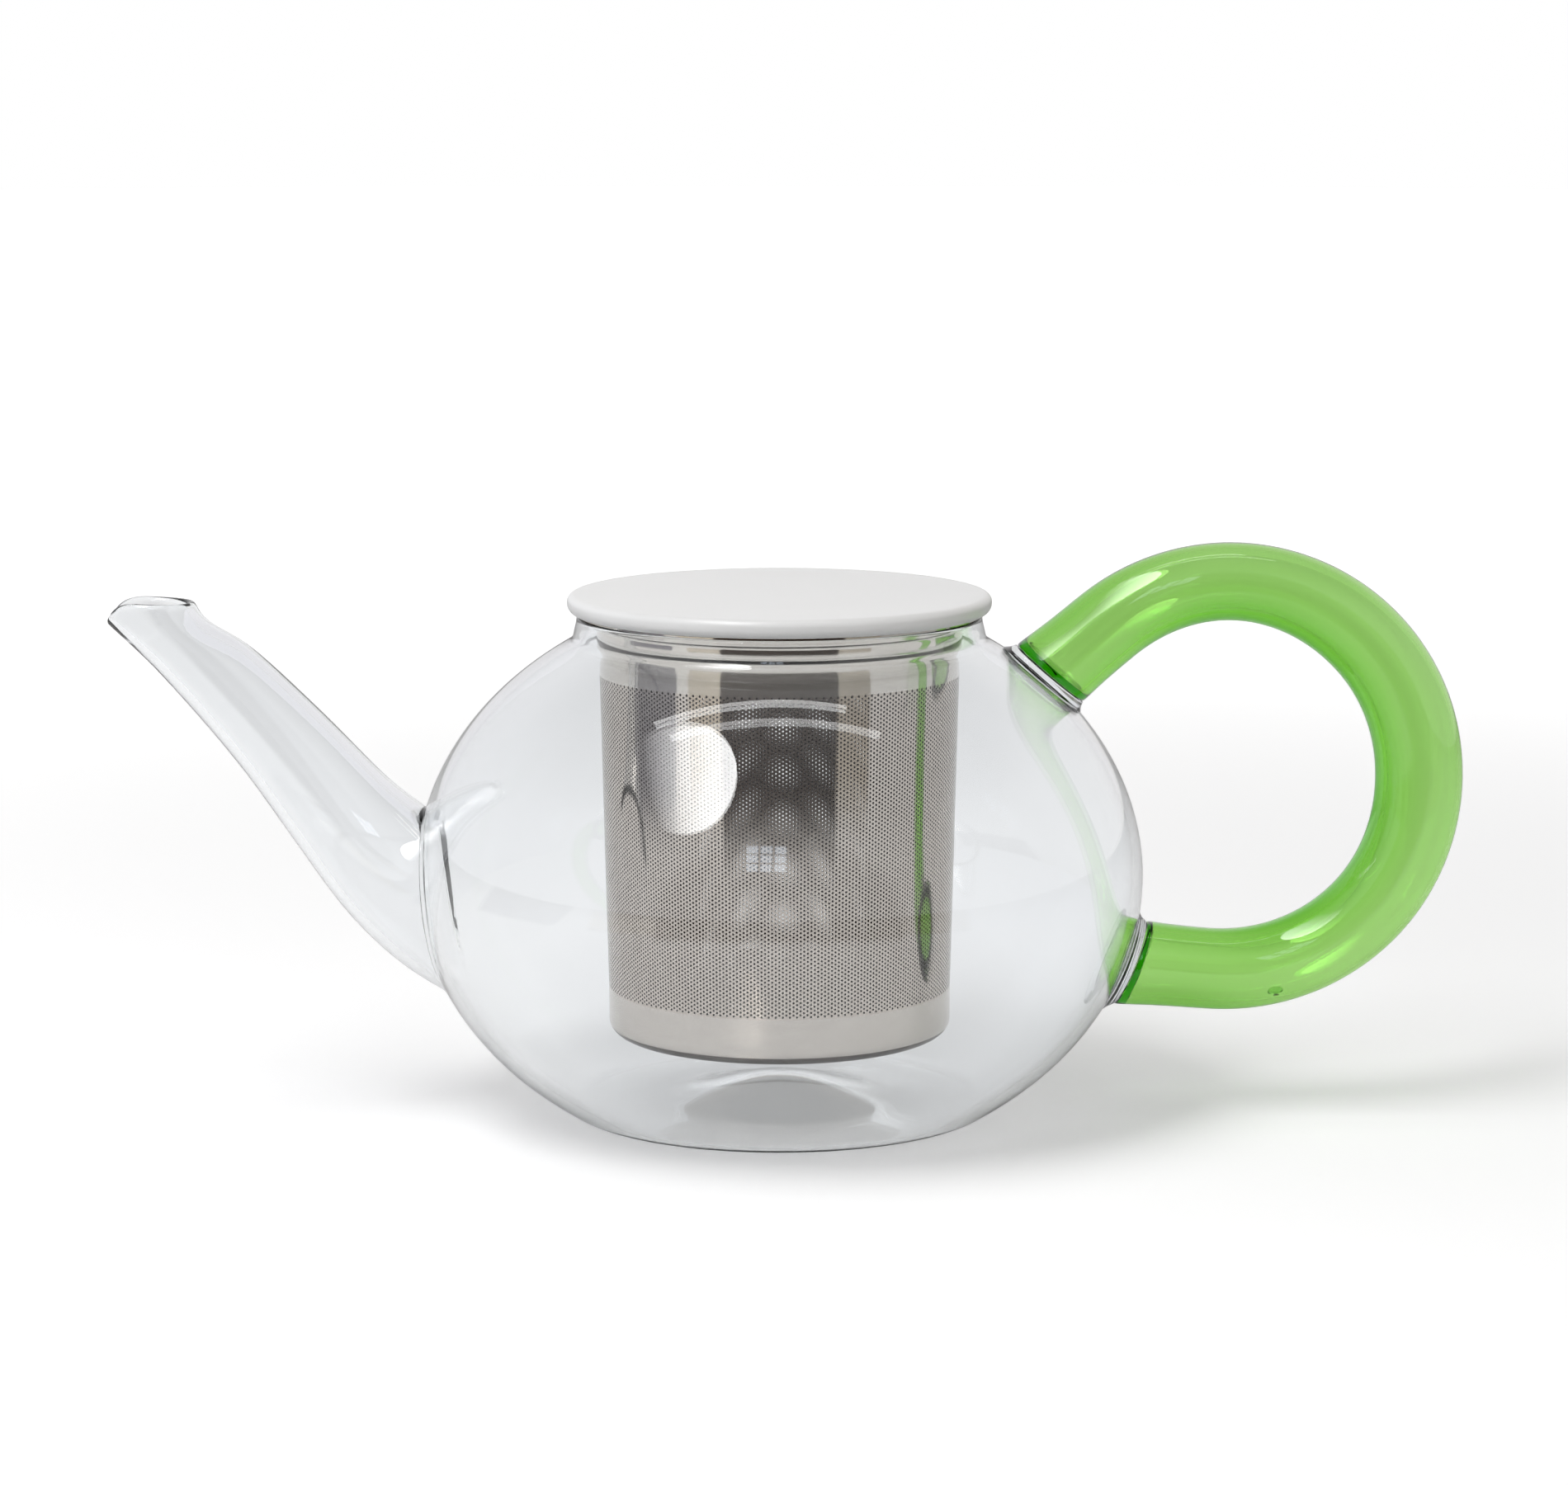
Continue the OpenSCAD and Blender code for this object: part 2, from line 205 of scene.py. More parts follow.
def bowlOutline():
    foot, middle, half, grown = (bowl[k] for k in ("foot", "middle", "halfHeight", "neckRound"))
    steps = bowl["outlineSteps"]
    filletX = bowl["neckRadius"] + bowl["neckFlare"] + grown
    filletZ = middle + (half + grown) * math.sqrt(1 - (filletX / (bowl["radius"] + grown)) ** 2)
    shoulder, heel = bowlSlope(filletZ, grown), bowlSlope(foot, -foot)
    low = foot + foot * math.sin(math.radians(heel))
    high = filletZ - grown * math.sin(math.radians(shoulder))
    start, end = (math.asin((z - middle) / half) for z in (low, high))
    punt = [
        (x, bowl["puntHeight"] * (1 + math.cos(math.pi * x / bowl["puntRadius"])) / 2)
        for x in [bowl["puntRadius"] * i / steps["punt"] for i in range(steps["punt"] + 1)]
    ]
    side = [
        (bowl["radius"] * math.cos(t), middle + half * math.sin(t))
        for t in [start + (end - start) * i / steps["side"] for i in range(1, steps["side"])]
    ]
    neck = arcPoints(filletX, filletZ, grown, 180 + shoulder, 180, steps["neck"])
    neckLine = (bowl["neckRadius"] + bowl["neckBow"], (filletZ + bowl["rim"]) / 2)
    edge = [(bowl["neckRadius"], bowl["rim"] - bowl["rimStrip"]), (bowl["neckRadius"], bowl["rim"])]
    ring = arcPoints(bowlRadius(foot, -foot), foot, foot, -90, heel, steps["foot"])
    return punt + ring + side + neck + [neckLine] + edge


spout = {
    "rootRadius": 18.75,
    "rootHeight": 43.2,
    "rootFlare": 1.8,  # the fused fillet on the bowl
    "fuseShare": 0.12,  # share of the length in which the root turns from the bowl's skin to a tube
    "reach": 135.6,
    "top": 104.4,
    "mouthLength": 17.8,
    "mouthWidth": 15.0,
    "beakDrop": 4.4,
    "beakStart": 0.8,  # share of the length from which the mouth turns level, and the share it takes
    "beakRun": 0.2,
    "beakPower": 9,  # a higher one makes the dipped beak narrower
    "topPower": 1.5,  # crowds the sections at the bowl along the upper edge
    # how far each edge bows out from a straight line, by share of its length
    "topBow": [(0, 0), (0.15, -0.6), (0.45, 0.5), (0.78, 0.7), (0.93, -1.3), (1, 0)],
    "lowBow": [
        (0, 0), (0.05, 2.1), (0.13, 3.7), (0.26, 4.3), (0.44, 2.1), (0.62, -0.2), (0.86, -1), (1, 0),
    ],
    "widths": [(0, 1), (0.12, 0.87), (0.3, 0.7), (0.54, 0.57), (0.78, 0.47), (0.92, 0.425), (1, 0.4)],
    "sections": [
        0.014, 0.045, 0.085, 0.13, 0.18, 0.235, 0.29, 0.35, 0.41, 0.47, 0.53, 0.59,
        0.65, 0.71, 0.77, 0.825, 0.87, 0.91, 0.945, 0.97, 0.988, 1.0,
    ],
    "relaxReach": 16,  # how far round the hole the bowl's grid is relaxed, and how often
    "relaxRounds": 12,
}


def smoothValue(pairs, at):
    # cubic through the pairs, with the slope of each point's neighbours
    i = 0
    while i < len(pairs) - 2 and at > pairs[i + 1][0]:
        i += 1

    def slope(k):
        a, b = pairs[max(0, k - 1)], pairs[min(len(pairs) - 1, k + 1)]
        return (b[1] - a[1]) / (b[0] - a[0])

    (x0, y0), (x1, y1) = pairs[i], pairs[i + 1]
    width = x1 - x0
    u = (at - x0) / width
    return (
        y0 * (2 * u**3 - 3 * u * u + 1)
        + y1 * (3 * u * u - 2 * u**3)
        + slope(i) * width * (u**3 - 2 * u * u + u)
        + slope(i + 1) * width * (u**3 - u * u)
    )


def edgePoint(start, end, bow, at, side):
    # a point on the straight line from start to end, bowed out to one side of it
    run = Vector(end) - Vector(start)
    way = run.normalized()
    return Vector(start) + run * at + Vector((-way.y, way.x)) * side * smoothValue(bow, at)


def onBowl(y, z, grow=0.0):
    # on the bowl's skin, on the spout's side
    return (-math.sqrt(bowlRadius(z, grow) ** 2 - y * y), y, z)


def spoutPoint(share, turn):
    # a point of the outer skin: share 0 at the bowl to 1 at the mouth, turn 0 at the upper edge
    root, height = spout["rootRadius"], spout["rootHeight"]
    high, low = height + root, height - root
    topEnd = (-spout["reach"] + spout["mouthLength"], spout["top"])
    lowEnd = (-spout["reach"], spout["top"] - spout["beakDrop"])
    crowded = share ** spout["topPower"]
    top = edgePoint((-bowlRadius(high), high), topEnd, spout["topBow"], crowded, -1)
    under = edgePoint((-bowlRadius(low), low), lowEnd, spout["lowBow"], share, 1)
    middle, half = (top + under) / 2, (top - under) / 2
    width = root * smoothValue(spout["widths"], share) * (1 - share) + share * spout["mouthWidth"] / 2
    side, up = math.sin(turn), math.cos(turn)
    # the mouth's sides are lifted until they are level, and only the beak stays low
    dip = (1 - up) / 2
    late = max(0.0, (share - spout["beakStart"]) / spout["beakRun"])
    lift = spout["beakDrop"] * (dip - dip ** spout["beakPower"]) * late**2
    free = Vector((middle.x + half.x * up, width * side, middle.y + half.y * up + lift))
    fused = Vector(onBowl(root * side, height + root * up))
    k = min(1.0, share / spout["fuseShare"])
    return fused.lerp(free, k * (2 - k))


def nearSpout(co):
    # distance from the middle of the spout's root; the bowl's other side counts as far away
    if co.x >= 0:
        return math.inf
    return math.hypot(co.y, co.z - spout["rootHeight"] * mm)


def makeGlassBody():
    body = spinOutline("glassBody", bowlOutline(), bowl["steps"])
    mesh = startEditing(body)
    bpy.ops.mesh.select_mode(type="FACE")
    bpy.ops.mesh.select_all(action="DESELECT")
    holeRadius = spout["rootRadius"] + spout["rootFlare"]
    for face in mesh.faces:
        face.select = nearSpout(face.calc_center_median()) < holeRadius * mm
    bpy.ops.mesh.delete(type="FACE")
    bpy.ops.mesh.select_mode(type="VERT")
    bpy.ops.mesh.select_all(action="DESELECT")
    mesh = bmesh.from_edit_mesh(body.data)
    layer = mesh.verts.layers.float.new("turn")
    # the hole's border, and not the rim, is put in order and made round
    height = spout["rootHeight"]
    border = [v for v in mesh.verts if v.is_boundary and v.co.z < 0.9 * bowl["rim"] * mm]
    border.sort(key=lambda v: math.atan2(v.co.y, v.co.z - height * mm) % (2 * math.pi))
    turns = {}
    for i, vert in enumerate(border):
        turn = turns[vert.index] = 2 * math.pi * i / len(border)
        place = onBowl(holeRadius * math.sin(turn), height + holeRadius * math.cos(turn))
        vert.co = Vector(place) * mm
    # the grid around the hole is relaxed, and stays on the bowl
    reach = (holeRadius + spout["relaxReach"]) * mm
    around = [v for v in mesh.verts if nearSpout(v.co) < reach and v.index not in turns]
    for _ in range(spout["relaxRounds"]):
        moved = {}
        for vert in around:
            joined = [e.other_vert(vert).co for e in vert.link_edges]
            moved[vert] = sum(joined, Vector()) / len(joined)
        for vert, place in moved.items():
            radius = bowlRadius(place.z / mm) * mm
            flat = math.hypot(place.x, place.y)
            vert.co = (place.x * radius / flat, place.y * radius / flat, place.z)
    for vert in border:
        vert[layer] = turns[vert.index]
        vert.select_set(True)
    mesh.select_flush(True)
    bmesh.update_edit_mesh(body.data)
    # the border is drawn out along the spout
    for share in spout["sections"]:
        bpy.ops.mesh.extrude_region_move()
        mesh = bmesh.from_edit_mesh(body.data)
        layer = mesh.verts.layers.float["turn"]
        for vert in [v for v in mesh.verts if v.select]:
            vert.co = spoutPoint(share, vert[layer]) * mm
        bmesh.update_edit_mesh(body.data)
    mesh.verts.layers.float.remove(mesh.verts.layers.float["turn"])
    mergeAndTurnOut()
    stopEditing()
    even = {"use_even_offset": True, "use_quality_normals": True}
    applyModifier(body, "SOLIDIFY", thickness=bowl["wall"] * mm, offset=-1, **even)
    applyModifier(body, "SUBSURF", levels=1, render_levels=1)
    smoothAll(body)
    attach(body, "pot")
    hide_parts("glass_bowl", "spout")
    return body


glassBody = makeGlassBody()
print("glass body made", len(glassBody.data.polygons))

# handle: hollow green tube and its two clear pads

handle = {
    "tubeRadius": 8.25,
    "endRadius": 8.7,  # the tube swells where it is fused
    "wall": 1.8,
    "endWall": 1.2,
    "boreDrift": 0.6,  # bending leaves the wall thicker on the inner side of the loop
    "driftFade": 8,  # a higher one takes the drift closer to the tube's ends
    "loopX": 90.6,
    "loopZ": 68.6,
    "topAngle": 130.0,
    "lowAngle": -94.5,
    # by angle: the loop's radius, and the tube's half width in the plane of the loop
    "bends": [(-94.5, 39.85), (-45, 39.5), (0, 38.7), (45, 39.0), (90, 39.65), (130, 39.3)],
    "ovals": [(-94.5, 8.25), (-45, 8.5), (0, 8.85), (45, 8.5), (90, 7.9), (130, 8.25)],
    # each end: shares of the way to the pad and of the swell, then of the radius across its cap
    "endSwell": [(0.25, 0.02), (0.5, 0.15), (0.75, 0.55), (0.93, 0.95)],
    "endCap": [0.995, 0.94, 0.7, 0.4, 0.15, 0.0001],
    "padThickness": 2.0,
    "padRadius": 8.9,
    "padFlare": {"upper": 1.3, "lower": 2.0},
    # each pad: shares of the radius across its top, of the way down and the flare, and across its foot
    "padTop": [0.0001, 0.2, 0.5, 0.8, 0.96],
    "padSide": [(0.1, 0.0), (0.35, 0.12), (0.65, 0.4), (0.9, 0.9)],
    "padFoot": [0.99, 0.8, 0.5, 0.2, 0.0001],
    "gap": 0.015,  # between the fused glasses, so that their faces stay apart
    "ventAngle": -77.0,
    "ventRadius": 0.6,
    "ventDepth": 6,  # length of the drill, more than the wall
    "ventBead": (1.6, 1.1, 0.8),  # half sizes of the melted bead by the vent, along, across and out
    "beadSwell": 0.16,  # how uneven the bead is
    "sides": 48,
    "steps": 56,
    "crease": 40,
}


def loopPlace(angle, shift=0.0):
    # the way out from the loop's centre, and the place on the tube's axis, shifted outwards
    out = Vector((math.cos(math.radians(angle)), 0, math.sin(math.radians(angle))))
    reach = smoothValue(handle["bends"], angle) + shift
    return out, Vector((handle["loopX"], 0, handle["loopZ"])) + out * reach


def reachBowl(start, way, grow):
    # how far from start along way the bowl's ellipsoid, grown, is met
    flat, tall = bowl["radius"] + grow, bowl["halfHeight"] + grow
    p = Vector((start.x / flat, start.y / flat, (start.z - bowl["middle"]) / tall))
    d = Vector((way.x / flat, way.y / flat, way.z / tall))
    a, b, c = d.dot(d), p.dot(d), p.dot(p) - 1
    return (-b - math.sqrt(max(0.0, b * b - a * c))) / a


def endRing(upper, radius, share=None, grow=0.0):
    # a ring at a share of the way from the loop's end to the bowl, or one along the grown bowl
    out, start = loopPlace(handle["topAngle"] if upper else handle["lowAngle"])
    way = Vector((-out.z, 0, out.x)) * (1 if upper else -1)
    ring = []
    for i in range(handle["sides"]):
        turn = 2 * math.pi * i / handle["sides"]
        place = start + out * radius * math.cos(turn) + Vector((0, radius * math.sin(turn), 0))
        full = reachBowl(place, way, grow)
        ring.append(place + way * full * (1 if share is None else share))
    return ring


def loopRing(angle, radius, inset=0.0):
    # round from side to side, and slightly oval in the plane of the loop
    share = (angle - handle["lowAngle"]) / (handle["topAngle"] - handle["lowAngle"])
    fade = min(1.0, handle["driftFade"] * share * (1 - share))
    out, middle = loopPlace(angle, handle["boreDrift"] * fade if inset else 0.0)
    wide = smoothValue(handle["ovals"], angle) - inset
    turns = [2 * math.pi * i / handle["sides"] for i in range(handle["sides"])]
    return [middle + out * wide * math.cos(t) + Vector((0, radius * math.sin(t), 0)) for t in turns]


def tubeSkin(name, inset, endInset):
    # one closed skin of the tube: inset 0 is the outside, a wall's thickness the inside
    grow = handle["padThickness"] + handle["gap"] + endInset
    thin, thick = handle["tubeRadius"] - inset, handle["endRadius"] - inset

    def endRings(upper):
        swell = [(share, thin + (thick - thin) * rise) for share, rise in handle["endSwell"]]
        rings = [endRing(upper, radius, share, grow) for share, radius in swell]
        return rings + [endRing(upper, thick * share, None, grow) for share in handle["endCap"]]

    low, top, steps = handle["lowAngle"], handle["topAngle"], handle["steps"]
    loop = [loopRing(low + (top - low) * i / steps, thin, inset) for i in range(steps + 1)]
    return drawRings(name, endRings(False)[::-1] + loop + endRings(True))


def makeHandleTube():
    tube = tubeSkin("handleTube", 0, 0)
    inside = tubeSkin("handleTubeInside", handle["wall"], handle["endWall"])
    startEditing(inside)
    bpy.ops.mesh.select_all(action="SELECT")
    bpy.ops.mesh.flip_normals()
    stopEditing()
    joinInto(tube, inside)
    applyModifier(tube, "SUBSURF", levels=1, render_levels=1)
    drillVent(tube)
    addBead(tube)
    smoothAll(tube, handle["crease"])
    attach(tube, "pot")
    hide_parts("handle_tube")
    return tube


def drillVent(tube):
    # the small hole through which the trapped air could leave
    out, middle = loopPlace(handle["ventAngle"], handle["tubeRadius"])
    bpy.ops.object.select_all(action="DESELECT")
    bpy.ops.mesh.primitive_cylinder_add(
        vertices=16,
        radius=handle["ventRadius"] * mm,
        depth=handle["ventDepth"] * mm,
        location=middle * mm,
        rotation=out.to_track_quat("Z", "Y").to_euler(),
    )
    drill = bpy.context.object
    applyModifier(tube, "BOOLEAN", object=drill, operation="DIFFERENCE", solver="EXACT")
    bpy.data.objects.remove(drill)


def addBead(tube):
    # glass that ran from the vent stands as a bead on the bore, uneven as melted glass is
    long, wide, tall = handle["ventBead"]
    out, middle = loopPlace(handle["ventAngle"], handle["tubeRadius"] - (handle["wall"] + tall))
    bpy.ops.object.select_all(action="DESELECT")
    bpy.ops.mesh.primitive_ico_sphere_add(subdivisions=3, radius=1, location=(0, 0, 0))
    bead = bpy.context.object
    turn = out.to_track_quat("Z", "Y").to_matrix()
    for vert in bead.data.vertices:
        x, y, z = vert.co
        swell = 1 + handle["beadSwell"] * math.sin(5 * x + 1) * math.sin(4 * y + 2)
        vert.co = (middle + turn @ Vector((x * wide, y * long, z * tall)) * swell) * mm
    joinInto(tube, bead)


def makePad(name, node, upper):
    gap, thick, small = handle["gap"], handle["padThickness"], handle["padRadius"]
    flare = handle["padFlare"]["upper" if upper else "lower"]
    rings = [endRing(upper, small * share, None, thick - gap) for share in handle["padTop"]]
    for down, rise in handle["padSide"]:
        rings.append(endRing(upper, small + flare * rise, None, thick * (1 - down)))
    rings += [endRing(upper, (small + flare) * share, None, gap) for share in handle["padFoot"]]
    pad = drawRings(name, rings)
    applyModifier(pad, "SUBSURF", levels=1, render_levels=1)
    smoothAll(pad)
    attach(pad, "pot")
    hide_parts(node)
    return pad


handleTube = makeHandleTube()
upperPad = makePad("handleUpperPad", "handle_upper_pad", True)
lowerPad = makePad("handleLowerPad", "handle_lower_pad", False)
print("handle made", len(handleTube.data.polygons))

# infuser: spun collar, perforated wall, pressed base

infuser = {
    "topRadius": 36.1,
    "lowRadius": 34.7,
    "sheet": 0.5,
    "bottom": 16.2,
    "baseRound": 2.6,
    "wallLow": 25.6,
    "wallTop": 89.4,
    "collarStep": 0.6,  # the collar widens by this between the two heights
    "stepLow": 93.4,
    "stepHigh": 96.3,
    "stepLead": 1,  # straight strip below the step
    "stepParts": 8,
    "flangeRadius": 40.5,
    "flangeRound": 2.6,
    "flangeEdge": (0.15, 0.12),  # the broken edge of the flange, inwards and upwards
    "rim": 101.6,
    "arcSteps": 8,
    "steps": 192,
    "crease": 40,
    "holeDiameter": 0.49,  # real ones are nearer 0.45; drawn larger, so that the wall is as dark
    "columns": 314,
    "rows": 77,
    "firstRow": 26.14,
    "rowPitch": 0.8226,
    "bands": 5,
    "bandCrease": 30,
}


def finishSteel(piece, node, crease):
    smoothAll(piece, crease)
    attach(piece, "infuser")
    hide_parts(node)
    return piece


def makeCollar():
    top, sheet, rim, bend = (infuser[k] for k in ("topRadius", "sheet", "rim", "flangeRound"))
    step, low, parts = infuser["collarStep"], infuser["stepLow"], infuser["stepParts"]
    rise = infuser["stepHigh"] - low

    def skin(inside):
        wall = top - inside
        points = [(wall, infuser["wallTop"]), (wall, low - infuser["stepLead"])]
        for u in [i / parts for i in range(parts + 1)]:
            points.append((wall + step * u * u * (3 - 2 * u), low + rise * u))
        cove = arcPoints(top + step + bend, rim - bend, bend + inside, 180, 90, infuser["arcSteps"])
        return points + cove

    outer, inner = skin(0), skin(sheet)
    reach, (back, up) = infuser["flangeRadius"], infuser["flangeEdge"]
    edge = [(reach - back, rim), (reach, rim + up)]
    edge += [(reach, rim + sheet - up), (reach - back, rim + sheet)]
    collar = spinOutline("infuserCollar", outer + edge + inner[::-1] + outer[:1], infuser["steps"])
    return finishSteel(collar, "infuser_collar", infuser["crease"])


def makeBase():
    low, sheet, bend, steps = (infuser[k] for k in ("lowRadius", "sheet", "baseRound", "arcSteps"))
    floor, bottom, top = low - bend, infuser["bottom"], infuser["wallLow"]
    outer = [(0.0, bottom), (floor / 2, bottom)] + arcPoints(floor, bottom + bend, bend, -90, 0, steps)
    inner = arcPoints(floor, bottom + bend, bend - sheet, 0, -90, steps)
    inner += [(floor / 2, bottom + sheet), (0.0, bottom + sheet)]
    base = spinOutline("infuserBase", outer + [(low, top), (low - sheet, top)] + inner, infuser["steps"])
    return finishSteel(base, "infuser_base", infuser["crease"])


def makeFlatSheet(tile, pitch):
    # one hole in its six-sided tile, copied to a flat sheet
    bpy.ops.object.select_all(action="DESELECT")
    bpy.ops.mesh.primitive_circle_add(vertices=6, radius=tile * mm)
    sheet = bpy.context.object
    sheet.name = sheet.data.name = "infuserWall"
    startEditing(sheet)
    bpy.ops.mesh.select_all(action="SELECT")
    bpy.ops.transform.rotate(value=math.radians(30), orient_axis="Z", center_override=(0, 0, 0))
    bpy.ops.mesh.extrude_edges_move()
    hole = infuser["holeDiameter"] / 2 / tile
    bpy.ops.transform.resize(value=(hole, hole, 1), center_override=(0, 0, 0))
    stopEditing()
    stepX, stepY = tile * 1.5 * mm, pitch * mm
    copies = [
        (2, (stepX, stepY / 2, 0)),
        (infuser["rows"], (0, stepY, 0)),
        (infuser["columns"] // 2, (2 * stepX, 0, 0)),
    ]
    shift = {"use_relative_offset": False, "use_constant_offset": True, "use_merge_vertices": True}
    shift["merge_threshold"] = 0.01 * mm
    for count, way in copies:
        applyModifier(sheet, "ARRAY", count=count, constant_offset_displace=way, **shift)
    startEditing(sheet)
    mergeAndTurnOut(0.01)
    stopEditing()
    return sheet


def rollUp(sheet, tile, pitch):
    # across becomes round the axis, up becomes up, with straight upper and lower edges
    count = len(sheet.data.vertices)
    flat = np.empty(count * 3, np.float32)
    sheet.data.vertices.foreach_get("co", flat)
    flat = flat.reshape(-1, 3) / mm
    low, top = infuser["wallLow"], infuser["wallTop"]
    first = infuser["firstRow"]
    last = first + pitch * (infuser["rows"] - 1)
    # the free corners of the outermost tiles, in shares of the pitch and of the tile, become the edges
    across = np.abs((flat[:, 0] + 1.5 * tile) % (3 * tile) - 1.5 * tile) / tile
    height = flat[:, 1] + first
    lowest = height < first + 0.1 * pitch
    corner = (height < first - 0.4 * pitch) | (lowest & (across > 0.8) & (across < 1.2))
    height = np.where(corner & lowest, low, height)
    corner = (height > last + 0.75 * pitch) | ((height > last + 0.4 * pitch) & (across < 0.75))
    height = np.where(corner, top, height)
    width = infuser["columns"] * tile * 1.5
    angle = flat[:, 0] / width * 2 * np.pi
    share = (height - low) / (top - low)
    radius = infuser["lowRadius"] + (infuser["topRadius"] - infuser["lowRadius"]) * share
    rolled = np.stack([-radius * np.sin(angle), radius * np.cos(angle), height], 1) * mm
    sheet.data.vertices.foreach_set("co", rolled.astype(np.float32).ravel())
    sheet.data.update()
    startEditing(sheet)
    mergeAndTurnOut(0.02)
    stopEditing()


def cutBand(sheet, k, pitch):
    # a piece of its own between two rows, small enough for its mesh file
    last = infuser["bands"] - 1
    pickOnly(sheet)
    bpy.ops.object.duplicate()
    band = bpy.context.object
    band.name = band.data.name = "infuserWall" + "ABCDEFGH"[k]
    rows = (round(infuser["rows"] * i / infuser["bands"]) for i in (k, k + 1))
    lowCut, highCut = (infuser["firstRow"] + (row - 0.25) * pitch for row in rows)
    mesh = startEditing(band)
    bpy.ops.mesh.select_mode(type="FACE")
    for face in mesh.faces:
        z = face.calc_center_median().z / mm
        face.select = (k > 0 and z < lowCut) or (k < last and z >= highCut)
    bpy.ops.mesh.delete(type="FACE")
    bpy.ops.mesh.select_mode(type="VERT")
    stopEditing()
    for _ in range(3):
        band.data.materials.append(None)  # outside, inside and hole walls
    sides = {"material_offset": 1, "material_offset_rim": 2}
    applyModifier(band, "SOLIDIFY", thickness=infuser["sheet"] * mm, offset=-1, **sides)
    return finishSteel(band, "infuser_wall", infuser["bandCrease"])


def makeWallBands():
    pitch = infuser["rowPitch"]
    tile = pitch / math.sqrt(3)  # radius of the six-sided tile
    sheet = makeFlatSheet(tile, pitch)
    rollUp(sheet, tile, pitch)
    bands = [cutBand(sheet, k, pitch) for k in range(infuser["bands"])]
    bpy.data.objects.remove(sheet)
    return bands


infuserCollar = makeCollar()
infuserBase = makeBase()
wallBands = makeWallBands()
print("infuser made", [len(b.data.polygons) for b in wallBands])

# lid

lid = {
    "radius": 42.7,
    "seat": 102.1,
    "thickness": 3.8,
    "topRound": 1.5,
    "lowRound": 1.9,
    "rimStrip": 3,  # a ring of points this far in keeps the shading of the top flat
    "ringRadius": 35.3,
    "ringHeight": 4.0,
    "ringWidth": 3.0,
    "ringFillet": 0.6,
    "ringRound": 0.8,
    "arcSteps": {"edge": 8, "ring": 4},
    "steps": 192,
    "crease": 50,
}


def makeLid():
    radius, seat, top = lid["radius"], lid["seat"], lid["seat"] + lid["thickness"]
    above, below, steps = lid["topRound"], lid["lowRound"], lid["arcSteps"]
    outline = [(0.0, top), (radius / 2, top), (radius - lid["rimStrip"], top)]
    outline += arcPoints(radius - above, top - above, above, 90, 0, steps["edge"])
    outline += arcPoints(radius - below, seat + below, below, 0, -90, steps["edge"])
    # the locating ring, with a fillet under the disc and a rounded foot
    ring, low = lid["ringRadius"], seat - lid["ringHeight"]
    inner, fillet, foot = ring - lid["ringWidth"], lid["ringFillet"], lid["ringRound"]
    soft = fillet / 4
    outline += [(ring + fillet, seat), (ring + soft, seat - soft), (ring, seat - fillet)]
    outline += arcPoints(ring - foot, low + foot, foot, 0, -90, steps["ring"])
    outline += arcPoints(inner + foot, low + foot, foot, -90, -180, steps["ring"])
    outline += [(inner, seat - fillet), (inner - soft, seat - soft), (inner - fillet, seat), (0.0, seat)]
    disc = spinOutline("lidDisc", outline, lid["steps"])
    smoothAll(disc, lid["crease"])
    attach(disc, "lid")
    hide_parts("lid")
    return disc


lidDisc = makeLid()
print("lid made")

# materials

softStep = {"interpolation_type": "SMOOTHSTEP"}
white = "#ffffff"


def hexColour(code):
    # sRGB hex to linear
    parts = [int(code[i : i + 2], 16) / 255 for i in (1, 3, 5)]
    return [p / 12.92 if p <= 0.04045 else ((p + 0.055) / 1.055) ** 2.4 for p in parts] + [1.0]


def perMetre(size):
    # a pattern's scale: whole repeats in a metre, from its size in mm
    return round(1 / (size * mm))


def addNode(tree, kind, settings=None, links=None):
    # settings: node properties or input values; links: input name to an output socket
    node = tree.nodes.new("ShaderNode" + kind)
    for name, value in (settings or {}).items():
        if hasattr(node, str(name)) and not isinstance(name, int):
            setattr(node, name, value)
        else:
            node.inputs[name].default_value = value
    for name, socket in (links or {}).items():
        tree.links.new(node.inputs[name], socket)
    return node


def newMaterial(name):
    material = bpy.data.materials.new(name)
    material.use_nodes = True
    tree = material.node_tree
    tree.nodes.clear()
    return material, tree


def wear(piece, material):
    piece.data.materials.clear()
    piece.data.materials.append(material)


# borosilicate glass, blown or drawn to tube: a faintly wavy skin, and a colour that deepens with the
# glass that the light crosses. The clear one has a trace of green, the tube is coloured through.
# "wave" is the width of a swell in the skin.
glass = {
    "ior": 1.473,
    "waveHeight": 0.6,
    "clear": {
        "tint": "#fbfcfd",
        "depth": (0.55, 0.8, 0.7, 1),  # linear; density x (1 - depth) is the absorption per metre
        "density": 5.0,
        "wave": 22,
        "strength": 0.06,
    },
    "green": {
        "tint": "#f4fbf0",
        "depth": (0.514, 0.848, 0.116, 1),
        "density": 500.0,
        "wave": 16.7,
        "strength": 0.05,
    },
}


